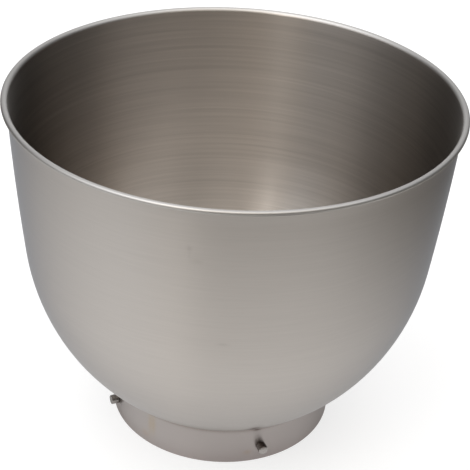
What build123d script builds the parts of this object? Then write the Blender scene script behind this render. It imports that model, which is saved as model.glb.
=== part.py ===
from build123d import *
import math
import os

# Stand mixer bowl, in millimetres. Origin at the middle of the circle the foot stands on, +Z up.
# The side that faces the viewer in the photo is -Y.

# Bowl sheet
sheetT = 0.8            # one gauge from the middle of the floor to the edge of the curl
bowlH = 181.5           # table to the top of the rim
mouthR = 108.5          # inside wall, just under the rim
floorLift = 1.5         # air between the table and the lowest point of the bowl

# Outside section: three arcs that run into each other without a corner.
# The radii of the floor and the wall are solved below, so that the section ends at the rim.
floorTurn = 44.0        # slope, in degrees, where the rounded floor passes into the flank
flankR = 118.0
flankTurn = 83.9        # slope, in degrees, where the flank passes into the drawn wall
wallTurn = 87.12        # slope, in degrees, of the wall at the rim

# Rim: the sheet turned out flat over the mouth and its edge tucked back under, left hollow
rimOut = 3.5            # from the inside wall to the nose of the curl, the widest radius
rimH = 2.0              # two thicknesses and the air between them
bendR = 1.2             # over the mouth, on the side that shows
crevice = 0.4           # air between the tucked edge and the wall

# Foot ring, one rolled strip
footR = 58.7            # outside
footT = 1.0
footBreak = 0.3         # lower edge, broken inside and out

# Locking pins: turned studs, each with a shoulder that stops on the ring and a shank welded through it
pinCount = 4
pinR = 2.5
pinZ = 9.1              # table to the middle of the pin
pinOut = 4.3            # how far it stands out of the ring
pinBreak = 0.3          # both edges of the part that stands out
shankR = 1.5            # fills its hole, so with no clearance
shankIn = 0.6           # how far the shank comes through inside the ring
firstPin = 22.2         # degrees round from the front, towards +X

# Sizes that follow
footBoreR = footR - footT
rimR = mouthR + rimOut
curlR = rimH / 2
curlMid = (rimR - curlR, bowlH - curlR)
bendInR = bendR - sheetT
bendMid = (mouthR + bendR, bowlH - bendR)
tuckEndR = mouthR + sheetT + crevice


def rising(centre, radius, slope):
    """Point of an arc that curls upwards, where it has the given slope in degrees."""
    a = math.radians(slope)
    return (centre[0] + radius * math.sin(a), centre[1] - radius * math.cos(a))


def at(point):
    return Vector(point[0], 0, point[1])


def arc(centre, radius, slopeA, slopeB):
    ends = [at(rising(centre, radius, s)) for s in (slopeA, (slopeA + slopeB) / 2, slopeB)]
    return ThreePointArc(*ends)


def turn(slopeA, slopeB):
    """Run and rise of an arc of radius 1 between two slopes."""
    a, b = math.radians(slopeA), math.radians(slopeB)
    return math.sin(b) - math.sin(a), math.cos(a) - math.cos(b)


# Radii of floor and wall: with the flank between them they run from the lowest point to the bend under the rim
wallEnd = rising(bendMid, -bendInR, wallTurn)
floorRun, floorRise = turn(0, floorTurn)
flankRun, flankRise = turn(floorTurn, flankTurn)
wallRun, wallRise = turn(flankTurn, wallTurn)
run = wallEnd[0] - flankR * flankRun
rise = wallEnd[1] - floorLift - flankR * flankRise
share = floorRun * wallRise - wallRun * floorRise
floorR = (run * wallRise - rise * wallRun) / share
wallR = (rise * floorRun - run * floorRise) / share

floorMid = (0.0, floorLift + floorR)
flankMid = rising(floorMid, floorR - flankR, floorTurn)
wallMid = rising(flankMid, flankR - wallR, flankTurn)


def outsideZ(r):
    """Height of the bowl's outside at a radius, on the floor or the flank."""
    onFloor = r <= floorR * math.sin(math.radians(floorTurn))
    centre, radius = (floorMid, floorR) if onFloor else (flankMid, flankR)
    return centre[1] - math.sqrt(radius ** 2 - (r - centre[0]) ** 2)


def makeBowl():
    """One sheet of even thickness, drawn as its section and turned."""
    topZ, underZ = bowlH, bowlH - rimH
    floorIn, flankIn, wallIn = floorR - sheetT, flankR - sheetT, wallR - sheetT
    noseIn = curlMid[0] + curlR - sheetT
    edges = [
        # outside, from the middle of the floor to the bend under the rim
        arc(floorMid, floorR, 0, floorTurn),
        arc(flankMid, flankR, floorTurn, flankTurn),
        arc(wallMid, wallR, flankTurn, wallTurn),
        arc(bendMid, -bendInR, wallTurn, 0),
        # air gap of the curl, closed by the fold itself, which is pressed sharp inside
        Line(at((bendMid[0], topZ - sheetT)), at((noseIn, topZ - sheetT))),
        Line(at((noseIn, topZ - sheetT)), at((noseIn, underZ + sheetT))),
        Line(at((noseIn, underZ + sheetT)), at((tuckEndR, underZ + sheetT))),
        # cut edge of the sheet, then the skin of the curl
        Line(at((tuckEndR, underZ + sheetT)), at((tuckEndR, underZ))),
        Line(at((tuckEndR, underZ)), at((curlMid[0], underZ))),
        arc(curlMid, -curlR, -180, 0),
        Line(at((curlMid[0], topZ)), at((bendMid[0], topZ))),
        # inside, down to the middle of the floor
        arc(bendMid, -bendR, 0, wallTurn),
        arc(wallMid, wallIn, wallTurn, flankTurn),
        arc(flankMid, flankIn, flankTurn, floorTurn),
        arc(floorMid, floorIn, floorTurn, 0),
        Line(at((0, floorLift + sheetT)), at((0, floorLift))),
    ]
    return revolve(Face(Wire(edges)), Axis.Z, 360)


def turned(azimuth):
    """Radial frame at an azimuth counted from the front: its z axis points out of the ring."""
    a = math.radians(azimuth)
    out = Vector(math.sin(a), -math.cos(a), 0)
    return Plane(origin=(0, 0, pinZ), x_dir=(0, 0, 1), z_dir=out)


def makePin(azimuth):
    upright = (Align.CENTER, Align.CENTER, Align.MIN)
    head = Cylinder(pinR, pinOut, align=upright)
    head = chamfer(head.edges().filter_by(GeomType.CIRCLE), pinBreak)
    shank = Pos(0, 0, -footT - shankIn) * Cylinder(shankR, footT + shankIn, align=upright)
    return turned(azimuth) * Pos(0, 0, footR) * (head + shank)


def makeFoot(azimuths):
    """Strip whose upper edge is dressed to the rounded floor, with a hole for each shank."""
    outTop, midTop, inTop = (at((r, outsideZ(r))) for r in (footR, footR - footT / 2, footBoreR))
    edges = [
        Line(at((footBoreR, 0)), at((footR, 0))),
        Line(at((footR, 0)), outTop),
        ThreePointArc(outTop, midTop, inTop),
        Line(inTop, at((footBoreR, 0))),
    ]
    foot = revolve(Face(Wire(edges)), Axis.Z, 360)
    lower = foot.edges().filter_by(lambda e: abs(e.center().Z) < 1e-6)
    foot = chamfer(lower, footBreak)
    for azimuth in azimuths:
        foot -= turned(azimuth) * Pos(0, 0, footR) * Cylinder(shankR, 6 * footT)
    return foot


pinAzimuths = [firstPin + 360 / pinCount * i for i in range(pinCount)]
shapes = {"mixing_bowl": makeBowl(), "foot_ring": makeFoot(pinAzimuths)}
for number, azimuth in enumerate(pinAzimuths, 1):
    shapes[f"locking_pin_{number}"] = makePin(azimuth)

os.makedirs("parts", exist_ok=True)
for node, shape in shapes.items():
    solid = shape.solids()[0] if len(shape.solids()) == 1 else shape
    solid.label = node
    export_step(solid, f"parts/{node}.step")
    size = solid.bounding_box().size
    print(node, "solids", len(shape.solids()), "volume", round(solid.volume, 1),
          "size", round(size.X, 2), round(size.Y, 2), round(size.Z, 2))
print("floor radius", round(floorR, 2), "wall radius", round(wallR, 1))
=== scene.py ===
import math

import bmesh
import bpy
from mathutils import Matrix, Vector


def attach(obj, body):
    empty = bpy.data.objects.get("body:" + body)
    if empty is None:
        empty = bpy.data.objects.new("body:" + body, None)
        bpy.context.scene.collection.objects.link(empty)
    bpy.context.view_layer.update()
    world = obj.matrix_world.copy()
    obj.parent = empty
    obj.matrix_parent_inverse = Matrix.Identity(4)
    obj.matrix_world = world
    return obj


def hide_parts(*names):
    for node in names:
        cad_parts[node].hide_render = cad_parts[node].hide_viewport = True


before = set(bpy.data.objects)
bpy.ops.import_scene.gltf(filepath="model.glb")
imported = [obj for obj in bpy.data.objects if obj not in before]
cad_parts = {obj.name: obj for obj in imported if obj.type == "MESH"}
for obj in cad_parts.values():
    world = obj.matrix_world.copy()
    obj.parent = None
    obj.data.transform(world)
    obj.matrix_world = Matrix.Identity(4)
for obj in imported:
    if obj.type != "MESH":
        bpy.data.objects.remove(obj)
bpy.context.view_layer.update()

mm = 0.001
print("frame loaded")


def addNode(tree, kind, values=None, **settings):
    node = tree.nodes.new(kind)
    for name, value in settings.items():
        setattr(node, name, value)
    for name, value in (values or {}).items():
        node.inputs[name].default_value = value
    return node


# a socket is linked, a plain value is set
def feed(tree, socket, value):
    if isinstance(value, bpy.types.NodeSocket):
        tree.links.new(value, socket)
    else:
        socket.default_value = value


def number(tree, operation, *values, clamp=False):
    node = addNode(tree, "ShaderNodeMath", operation=operation, use_clamp=clamp)
    for socket, value in zip(node.inputs, values):
        feed(tree, socket, value)
    return node.outputs[0]


def vector(tree, operation, *values):
    node = addNode(tree, "ShaderNodeVectorMath", operation=operation)
    for socket, value in zip(node.inputs, values):
        feed(tree, socket, value)
    return node.outputs["Value" if operation in ("DOT_PRODUCT", "LENGTH") else "Vector"]


def scaled(tree, value, factor):
    node = addNode(tree, "ShaderNodeVectorMath", operation="SCALE")
    feed(tree, node.inputs["Vector"], value)
    feed(tree, node.inputs["Scale"], factor)
    return node.outputs["Vector"]


def parts(tree, value):
    node = addNode(tree, "ShaderNodeSeparateXYZ")
    tree.links.new(value, node.inputs[0])
    return node.outputs


# inputs 6 and 7 of a Mix node are its two colours, output 2 is the mixed one
def mixColour(tree, share, first, second):
    node = addNode(tree, "ShaderNodeMix", {6: (*first, 1), 7: (*second, 1)}, data_type="RGBA")
    tree.links.new(share, node.inputs["Factor"])
    return node.outputs[2]


def ramp(tree, value, stops):
    node = addNode(tree, "ShaderNodeValToRGB")
    points = node.color_ramp.elements
    while len(points) < len(stops):
        points.new(0.5)
    for point, (position, colour) in zip(points, stops):
        point.position = position
        point.color = (*colour, 1)
    tree.links.new(value, node.inputs[0])
    return node.outputs[0]


# a section is walked by one vertex in the XZ plane: X is the distance from the axis, Z the height
def sectionStart(x, z):
    mesh = bmesh.new()
    return mesh, mesh.verts.new((x * mm, 0, z * mm))


def walkTo(mesh, point, x, z):
    end = bmesh.ops.extrude_vert_indiv(mesh, verts=[point])["verts"][0]
    end.co = (x * mm, 0, z * mm)
    return end


# positive degrees turn from straight below the centre outwards and up
def walkArc(mesh, point, centre, degrees, steps):
    made = bmesh.ops.spin(mesh, geom=[point], cent=(centre[0] * mm, 0, centre[1] * mm), axis=(0, 1, 0),
                          angle=math.radians(-degrees), steps=steps)
    return [part for part in made["geom_last"] if isinstance(part, bmesh.types.BMVert)][0]


def turnSection(mesh, steps):
    bmesh.ops.spin(mesh, geom=mesh.verts[:] + mesh.edges[:], cent=(0, 0, 0), axis=(0, 0, 1),
                   angle=math.tau, steps=steps, use_merge=True)
    bmesh.ops.remove_doubles(mesh, verts=mesh.verts[:], dist=0.0002 * mm)
    bmesh.ops.recalc_face_normals(mesh, faces=mesh.faces[:])


sharpFrom = math.radians(30)     # edges that turn by more stay sharp


def makePiece(name, mesh, materials, node):
    for face in mesh.faces:
        face.smooth = True
    for edge in mesh.edges:
        edge.smooth = edge.calc_face_angle(0) < sharpFrom
    data = bpy.data.meshes.new(name)
    mesh.to_mesh(data)
    mesh.free()
    piece = bpy.data.objects.new(name, data)
    bpy.context.scene.collection.objects.link(piece)
    for material in materials:
        data.materials.append(material)
    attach(piece, "root")
    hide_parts(node)
    print(name, "faces", len(data.polygons))


# camera, at the photograph's viewing angle
camera = {"place": (0, -0.56246, 0.44818), "lens": 98.54, "sensor": 36, "near": 0.01, "far": 50,
          "pan": 0.0057, "tiltDown": 0.5518, "roll": 0.0564}

eye = bpy.data.objects.new("camera", bpy.data.cameras.new("camera"))
eye.data.sensor_width = camera["sensor"]
eye.data.lens = camera["lens"]
eye.data.clip_start, eye.data.clip_end = camera["near"], camera["far"]
eye.location = camera["place"]
eye.rotation_euler = (Matrix.Rotation(-camera["pan"], 3, "Z")
                      @ Matrix.Rotation(math.pi / 2 - camera["tiltDown"], 3, "X")
                      @ Matrix.Rotation(camera["roll"], 3, "Z")).to_euler()
bpy.context.scene.collection.objects.link(eye)
bpy.context.scene.camera = eye
print("camera set")


# one soft mark on the steel, as a factor on its colour, for a stain or for painted light and shade:
# degrees round from the front (None is all round), height, half sizes round and up in mm, and the tint at
# its middle
def addMark(tree, flat, height, turn, middle, halfRound, halfUp, tint):
    up = number(tree, "DIVIDE", number(tree, "SUBTRACT", height, middle), halfUp)
    away = number(tree, "MULTIPLY", up, up)
    if turn is not None:
        ahead, aside = math.cos(math.radians(turn)), math.sin(math.radians(turn))
        across = number(tree, "DIVIDE", vector(tree, "DOT_PRODUCT", flat, (ahead, aside, 0)), halfRound)
        away = number(tree, "ADD", away, number(tree, "MULTIPLY", across, across))
    share = number(tree, "EXPONENT", number(tree, "MULTIPLY", away, -1.0))
    if turn is not None:
        facing = vector(tree, "DOT_PRODUCT", flat, (aside, -ahead, 0))
        share = number(tree, "MULTIPLY", share, number(tree, "GREATER_THAN", facing, 0.0))
    return mixColour(tree, share, (1, 1, 1), tint)


# brushed steel, its lines running round the axis. Each layer of them is (lines per mm along the
# section, patches round the axis, share)
def brushedSteel(name, look):
    material = bpy.data.materials.new(name)
    material.use_nodes = True
    tree = material.node_tree
    steel = tree.nodes["Principled BSDF"]
    steel.inputs["Metallic"].default_value = 1.0
    steel.inputs["Specular Tint"].default_value = (*look["edgeTint"], 1)
    steel.inputs["Anisotropic"].default_value = look["brushing"]
    steel.inputs["Anisotropic Rotation"].default_value = 0.25     # a quarter turn: across the lines
    tangent = addNode(tree, "ShaderNodeTangent", direction_type="RADIAL", axis="Z")
    tree.links.new(tangent.outputs[0], steel.inputs["Tangent"])

    place = scaled(tree, addNode(tree, "ShaderNodeTexCoord").outputs["Object"], 1 / mm)
    flat = vector(tree, "MULTIPLY", place, (1, 1, 0))
    radius = vector(tree, "LENGTH", flat)
    heading = parts(tree, vector(tree, "NORMALIZE", flat))
    height = parts(tree, place)[2]

    lines = None
    for perMm, patches, share in look["lines"]:
        spot = addNode(tree, "ShaderNodeCombineXYZ")
        feed(tree, spot.inputs[0], number(tree, "MULTIPLY", radius, perMm))
        feed(tree, spot.inputs[1], number(tree, "MULTIPLY", height, perMm))
        feed(tree, spot.inputs[2], number(tree, "MULTIPLY", heading[0], patches))
        noise = addNode(tree, "ShaderNodeTexNoise", {"Scale": 1.0, "Detail": 1.0, "Roughness": 0.5},
                        noise_dimensions="4D")
        tree.links.new(spot.outputs[0], noise.inputs["Vector"])
        tree.links.new(number(tree, "MULTIPLY", heading[1], patches), noise.inputs["W"])
        layer = number(tree, "MULTIPLY", number(tree, "SUBTRACT", noise.outputs[0], 0.5), share)
        lines = layer if lines is None else number(tree, "ADD", lines, layer)

    tone = number(tree, "MULTIPLY_ADD", lines, look["toneLines"], 1.0)
    painted = scaled(tree, look["colour"], tone)
    for mark in look.get("marks", ()):
        painted = vector(tree, "MULTIPLY", painted, addMark(tree, flat, height, *mark))
    tree.links.new(painted, steel.inputs["Base Color"])
    rough = number(tree, "MULTIPLY_ADD", lines, look["roughLines"], look["roughness"])
    tree.links.new(rough, steel.inputs["Roughness"])
    bump = addNode(tree, "ShaderNodeBump", {"Strength": 1.0, "Distance": look["lineDepth"] * mm})
    tree.links.new(lines, bump.inputs["Height"])
    tree.links.new(bump.outputs[0], steel.inputs["Normal"])
    return material


outsideLook = {"colour": (0.52, 0.487, 0.456), "edgeTint": (0.46, 0.49, 0.54), "roughness": 0.31,
               "brushing": 1.0, "toneLines": 0.14, "roughLines": 0.03, "lineDepth": 0.0008,
               "lines": ((1.8, 5.0, 0.6), (0.6, 2.0, 0.4)),
               "marks": ((None, 26.0, 1, 6.0, (0.68, 0.66, 0.64)),      # painted shade above the foot's joint
                         (14.5, 32.0, 2.8, 4.0, (0.45, 0.4, 0.38)),     # painted shadow and reflection of the front pin, above it
                         (12, 179.7, 24, 0.3, (0.6, 0.59, 0.58)),       # shade of the curl
                         (-8.6, 159.9, 1.3, 1.3, (0.91, 0.9, 0.9)),     # faint smudges
                         (-8.6, 157.0, 0.6, 3.0, (0.96, 0.96, 0.96)),
                         (-6.8, 153.8, 2.4, 1.4, (0.94, 0.94, 0.93)),
                         (-0.1, 108.7, 2.4, 0.8, (0.9, 0.9, 0.9)))}
insideLook = {"colour": (0.524, 0.485, 0.448), "edgeTint": (0.5, 0.5, 0.5), "roughness": 0.295,
              "brushing": 1.0, "toneLines": 0.5, "roughLines": 0.02, "lineDepth": 0.001,
              "lines": ((0.9, 1.4, 0.55), (0.4, 0.8, 0.45))}
rimLook = {"colour": (0.51, 0.49, 0.468), "edgeTint": (0.6, 0.6, 0.6), "roughness": 0.42,
           "brushing": 0.7, "toneLines": 0.04, "roughLines": 0.05, "lineDepth": 0.002,
           "lines": ((2.5, 3.0, 1.0),),
           "marks": ((12, 179.6, 24, 0.8, (0.26, 0.25, 0.24)),)}        # painted shade in the crease in front
footLook = {"colour": (0.4, 0.365, 0.351), "edgeTint": (0.5, 0.5, 0.5), "roughness": 0.33,
            "brushing": 0.9, "toneLines": 0.06, "roughLines": 0.1, "lineDepth": 0.004,
            "lines": ((2.0, 3.0, 0.6), (0.8, 2.0, 0.4)),
            "marks": ((None, 20.6, 1, 1.1, (0.8, 0.78, 0.76)),          # painted shade in the joint
                      (19.6, 20.4, 2.0, 0.8, (0.45, 0.4, 0.4)),         # and the front pin's painted shadow and reflection above it
                      (None, 0.5, 1, 4.5, (0.92, 0.9, 0.9)),            # painted reflection of the contact shadow along the lower edge
                      (14, 3.0, 24, 9, (0.91, 0.9, 0.9)),               # painted shade in front
                      (-55, 11, 26, 16, (1.12, 1.14, 1.14)),            # painted light on the left
                      (-36.0, 14.0, 2.3, 6.5, (1.0, 0.955, 0.87)),      # heat tint of the butt weld
                      (-37.3, 14.0, 1.0, 6.5, (1.0, 0.97, 0.9)),
                      (-34.7, 14.0, 1.0, 6.5, (1.0, 0.97, 0.9)),
                      (-40.3, 5.5, 2.5, 2.0, (1.0, 0.94, 0.88)),        # brown spots
                      (15.2, 6.1, 2.2, 1.5, (0.97, 0.92, 0.85)))}
pinLook = {"colour": (0.375, 0.355, 0.34), "edgeTint": (0.6, 0.6, 0.6), "roughness": 0.26,
           "brushing": 0.0, "toneLines": 0.05, "roughLines": 0.1, "lineDepth": 0.003,
           "lines": ((3.0, 3.0, 1.0),),
           "marks": ((22.2, 12.0, 3.0, 1.7, (0.35, 0.3, 0.28)),         # painted shade on the upper side of the front pin
                     (-67.8, 8.9, 3.0, 1.5, (0.5, 0.48, 0.46)))}        # painted shade on one side of the left pin

outsideSteel = brushedSteel("outside_brushed", outsideLook)
insideSteel = brushedSteel("inside_brushed", insideLook)
rimSteel = brushedSteel("rim_rolled", rimLook)
footSteel = brushedSteel("foot_brushed", footLook)
pinSteel = brushedSteel("pin_turned", pinLook)
print("steels made")

# bowl: one sheet, its edge turned out and tucked back under. rimFrom and rimBelow say how far outside
# the mouth and below the curl the rim's finish starts, heart is the height of a point well inside
bowl = {"sheet": 0.8, "height": 181.5, "rimRadius": 111.95, "mouthRadius": 108.5, "floorLift": 1.5,
        "floorRadius": 97.5, "floorTurn": 44.0, "flankRadius": 118.0, "flankTurn": 83.9,
        "rimHeight": 2.0, "bendRadius": 2.0, "crevice": 0.4, "rimFrom": 0.3, "rimBelow": 0.05,
        "heart": 110, "turns": 320,
        "steps": {"floor": 22, "flank": 18, "wall": 10, "fold": 5, "tuck": 6, "nose": 20, "mouth": 12}}


def along(centre, radius, slope):
    a = math.radians(slope)
    return centre[0] + radius * math.sin(a), centre[1] - radius * math.cos(a)


def makeBowl():
    sheet, top, steps = bowl["sheet"], bowl["height"], bowl["steps"]
    under = top - bowl["rimHeight"]
    curlR, bendR = bowl["rimHeight"] / 2, bowl["bendRadius"]
    floorMid = (0, bowl["floorLift"] + bowl["floorRadius"])
    flankMid = along(floorMid, bowl["floorRadius"] - bowl["flankRadius"], bowl["floorTurn"])
    flankEnd = along(flankMid, bowl["flankRadius"], bowl["flankTurn"])
    bendMid = (bowl["mouthRadius"] + bendR, top - bendR)
    curlMid = (bowl["rimRadius"] - curlR, top - curlR)
    tuckEnd = bowl["mouthRadius"] + sheet + bowl["crevice"]
    # the wide arc of the wall leaves the flank and meets the bend without a corner
    lean = math.radians(bowl["flankTurn"])
    away = bendMid[0] - flankEnd[0], bendMid[1] - flankEnd[1]
    inner = bendR - sheet
    off = away[1] * math.cos(lean) - away[0] * math.sin(lean)
    wallR = (away[0] ** 2 + away[1] ** 2 - inner ** 2) / (2 * (off + inner))
    wallMid = along(flankEnd, -wallR, bowl["flankTurn"])
    wallTurn = math.degrees(math.atan2(bendMid[0] - wallMid[0], wallMid[1] - bendMid[1]))
    floorSweep = bowl["floorTurn"]
    flankSweep, wallSweep = bowl["flankTurn"] - floorSweep, wallTurn - bowl["flankTurn"]

    mesh, point = sectionStart(0, bowl["floorLift"])
    point = walkArc(mesh, point, floorMid, floorSweep, steps["floor"])
    point = walkArc(mesh, point, flankMid, flankSweep, steps["flank"])
    point = walkArc(mesh, point, wallMid, wallSweep, steps["wall"])
    point = walkArc(mesh, point, bendMid, -wallTurn, steps["fold"])
    point = walkTo(mesh, point, curlMid[0], top - sheet)
    point = walkArc(mesh, point, curlMid, -180, steps["tuck"])
    point = walkTo(mesh, point, tuckEnd, under + sheet)
    point = walkTo(mesh, point, tuckEnd, under)                  # cut edge
    point = walkTo(mesh, point, curlMid[0], under)
    point = walkArc(mesh, point, curlMid, 180, steps["nose"])
    point = walkTo(mesh, point, bendMid[0], top)
    point = walkArc(mesh, point, bendMid, wallTurn, steps["mouth"])
    point = walkArc(mesh, point, wallMid, -wallSweep, steps["wall"])
    point = walkArc(mesh, point, flankMid, -flankSweep, steps["flank"])
    walkArc(mesh, point, floorMid, -floorSweep, steps["floor"])
    turnSection(mesh, bowl["turns"])
    heart = Vector((0, 0, bowl["heart"] * mm))
    rimLow, rimIn = (under - bowl["rimBelow"]) * mm, (bowl["mouthRadius"] + bowl["rimFrom"]) * mm
    for face in mesh.faces:
        middle = face.calc_center_median()
        if middle.z > rimLow and middle.xy.length > rimIn:
            face.material_index = 2
        elif face.normal.dot(heart - middle) > 0:
            face.material_index = 1
    makePiece("bowlSheet", mesh, [outsideSteel, insideSteel, rimSteel], "mixing_bowl")


makeBowl()

# foot: a rolled strip under the bowl's rounded floor
foot = {"radius": 58.7, "strip": 1.0, "edgeBreak": 0.3, "rows": 6, "turns": 256}


def makeFoot():
    outer, inner = foot["radius"], foot["radius"] - foot["strip"]
    ball, lift = bowl["floorRadius"], bowl["floorLift"] + bowl["floorRadius"]
    outTop, inTop = (lift - math.sqrt(ball ** 2 - r ** 2) for r in (outer, inner))
    cut, rows = foot["edgeBreak"], foot["rows"]
    mesh, first = sectionStart(inner + cut, 0)
    point = walkTo(mesh, first, outer - cut, 0)
    point = walkTo(mesh, point, outer, cut)
    for row in range(1, rows + 1):
        point = walkTo(mesh, point, outer, cut + (outTop - cut) * row / rows)
    point = walkTo(mesh, point, inner, inTop)
    for row in range(1, rows + 1):
        point = walkTo(mesh, point, inner, inTop + (cut - inTop) * row / rows)
    mesh.edges.new((point, first))
    turnSection(mesh, foot["turns"])
    makePiece("footStrip", mesh, [footSteel], "foot_ring")


makeFoot()

# locking pins: turned studs through the foot, the first one at 22.2 degrees round from the front
pin = {"radius": 2.5, "out": 4.3, "edgeBreak": 0.3, "shank": 1.5, "inside": 0.6, "height": 9.1,
       "first": 22.2, "count": 4, "turns": 64}


def makePin(which):
    cut, head, shank, out = pin["edgeBreak"], pin["radius"], pin["shank"], pin["out"]
    back = -foot["strip"] - pin["inside"]
    mesh, point = sectionStart(0, back)
    for x, z in ((shank, back), (shank, 0), (head - cut, 0), (head, cut), (head, out - cut),
                 (head - cut, out), (0, out)):
        point = walkTo(mesh, point, x, z)
    turnSection(mesh, pin["turns"])
    turn = math.radians(pin["first"] + 360 / pin["count"] * (which - 1))
    mesh.transform(Matrix.Rotation(turn, 4, "Z")
                   @ Matrix.Translation((0, -foot["radius"] * mm, pin["height"] * mm))
                   @ Matrix.Rotation(math.pi / 2, 4, "X"))
    makePiece(f"lockingPin{which}", mesh, [pinSteel], f"locking_pin_{which}")


for which in range(1, pin["count"] + 1):
    makePin(which)

# studio: a sheet of white paper with round corners that fades to a grey bench, under a soft dome. The
# dome's levels are (low down, halfway, high up): the room all round, a soft light on the left between
# leftFrom and leftTo, and the wall behind. All turns are degrees round from the front towards +X. The
# light is a little warmer between warmFrom and warmTo. A narrow strip lamp, aimed at stripAim above
# the floor, makes the streak inside the bowl
studio = {"floorRadius": 8.0, "floorTurns": 128, "floorRoughness": 0.9, "paperMiddle": (-0.104, 0.22),
          "paperSize": (0.359, 0.53), "paperCorners": 4.0, "paperFade": 0.1, "paperColour": 0.36,
          "paperShare": 0.72, "benchColour": (0.215, 0.2, 0.18),
          "roomLight": (0.15, 0.1, 1.5), "leftLight": (0.25, 1.2, 3.4), "backLight": (1.45, 1.0, 1.1),
          "leftFrom": -72, "leftTo": -28, "leftFadeIn": 55, "leftFadeOut": 20, "backFade": 40,
          "heights": (8, 32, 58), "zenith": 2.5, "brightest": 8.0,
          "coolLight": (0.98, 1.0, 1.025), "warmLight": (1.055, 1.0, 0.93), "warmFrom": -40,
          "warmTo": 62, "warmFade": 7.2,
          "stripTurn": -30, "stripHeight": 54, "stripAway": 1.6, "stripAim": 0.1,
          "stripSize": (0.06, 0.6), "stripPower": 0.58}


def makeFloor():
    mesh = bmesh.new()
    bmesh.ops.create_circle(mesh, cap_ends=True, segments=studio["floorTurns"], radius=studio["floorRadius"])
    data = bpy.data.meshes.new("floor")
    mesh.to_mesh(data)
    mesh.free()
    floor = bpy.data.objects.new("floor", data)
    bpy.context.scene.collection.objects.link(floor)
    material = bpy.data.materials.new("floor_paper")
    material.use_nodes = True
    tree = material.node_tree
    paper = tree.nodes["Principled BSDF"]
    paper.inputs["Roughness"].default_value = studio["floorRoughness"]
    paper.inputs["Specular IOR Level"].default_value = 0.0
    centred = addNode(tree, "ShaderNodeMapping", {"Location": (*studio["paperMiddle"], 0),
                                                  "Scale": (*studio["paperSize"], 1)}, vector_type="TEXTURE")
    tree.links.new(addNode(tree, "ShaderNodeTexCoord").outputs["Object"], centred.inputs["Vector"])
    corners = studio["paperCorners"]
    sides = parts(tree, vector(tree, "ABSOLUTE", centred.outputs[0]))[:2]
    raised = [number(tree, "POWER", side, corners) for side in sides]
    away = number(tree, "POWER", number(tree, "ADD", *raised), 1 / corners)
    sheet = addNode(tree, "ShaderNodeMapRange", {"From Min": 1.0 + studio["paperFade"], "From Max": 1.0},
                    interpolation_type="SMOOTHSTEP")
    tree.links.new(away, sheet.inputs["Value"])
    tone = mixColour(tree, sheet.outputs[0], studio["benchColour"], [studio["paperColour"]] * 3)
    tree.links.new(tone, paper.inputs["Base Color"])
    # camera, metal and glass all see the sheet white, and it still takes the bowl's shadow
    path = addNode(tree, "ShaderNodeLightPath")
    seen = number(tree, "ADD", path.outputs["Is Camera Ray"], path.outputs["Is Glossy Ray"])
    seen = number(tree, "ADD", seen, path.outputs["Is Transmission Ray"], clamp=True)
    share = number(tree, "MULTIPLY", number(tree, "MULTIPLY", seen, sheet.outputs[0]), studio["paperShare"])
    paper.inputs["Emission Color"].default_value = (1, 1, 1, 1)
    tree.links.new(share, paper.inputs["Emission Strength"])
    material.cycles.emission_sampling = "NONE"
    data.materials.append(material)


def makeDome():
    world = bpy.data.worlds.new("studio")
    bpy.context.scene.world = world
    world.use_nodes = True
    tree = world.node_tree
    x, y, z = parts(tree, addNode(tree, "ShaderNodeTexCoord").outputs["Generated"])
    azimuth = number(tree, "ARCTAN2", x, number(tree, "MULTIPLY", y, -1.0))
    azimuth = number(tree, "MULTIPLY_ADD", azimuth, 1 / math.tau, 0.5)     # from 0 to 1, the front at 0.5
    height = number(tree, "MULTIPLY", number(tree, "ARCSINE", z), 2 / math.pi)
    brightest = studio["brightest"]
    room, left, back = ([level / brightest for level in studio[light]]
                        for light in ("roomLight", "leftLight", "backLight"))
    lit = [(-180, back), (studio["backFade"] - 180, room), (studio["leftFrom"] - studio["leftFadeIn"], room),
           (studio["leftFrom"], left), (studio["leftTo"], left),
           (studio["leftTo"] + studio["leftFadeOut"], room), (180 - studio["backFade"], room), (180, back)]
    around = ramp(tree, azimuth, [((turn + 180) / 360, levels) for turn, levels in lit])
    low, middle, high = (level / 90 for level in studio["heights"])
    levels = ramp(tree, height, [(low, (1, 0, 0)), (middle, (0, 1, 0)), (high, (0, 0, 1)), (1.0, (0, 0, 0))])
    light = vector(tree, "DOT_PRODUCT", around, levels)
    covered = vector(tree, "DOT_PRODUCT", levels, (1, 1, 1))
    top = number(tree, "MULTIPLY", number(tree, "SUBTRACT", 1.0, covered), studio["zenith"])
    strength = number(tree, "MULTIPLY_ADD", light, brightest, top)
    first, last = ((studio[side] + 180) / 360 for side in ("warmFrom", "warmTo"))
    cool, warm, fade = studio["coolLight"], studio["warmLight"], studio["warmFade"] / 360
    stops = [(first - fade, cool), (first + fade, warm), (last - fade, warm), (last + fade, cool)]
    tint = ramp(tree, azimuth, stops)
    background = tree.nodes["Background"]
    tree.links.new(tint, background.inputs["Color"])
    tree.links.new(strength, background.inputs["Strength"])


def makeStrip():
    lamp = bpy.data.lights.new("stripLamp", "AREA")
    lamp.shape = "RECTANGLE"
    lamp.size, lamp.size_y = studio["stripSize"]
    lamp.energy = studio["stripPower"]
    turn, height = math.radians(studio["stripTurn"]), math.radians(studio["stripHeight"])
    strip = bpy.data.objects.new("stripLamp", lamp)
    strip.matrix_world = (Matrix.Translation((0, 0, studio["stripAim"])) @ Matrix.Rotation(turn, 4, "Z")
                          @ Matrix.Rotation(math.pi / 2 - height, 4, "X")
                          @ Matrix.Translation((0, 0, studio["stripAway"])))
    bpy.context.scene.collection.objects.link(strip)


makeFloor()
makeDome()
makeStrip()
bpy.context.scene.view_settings.view_transform = "Standard"
print("studio lit")
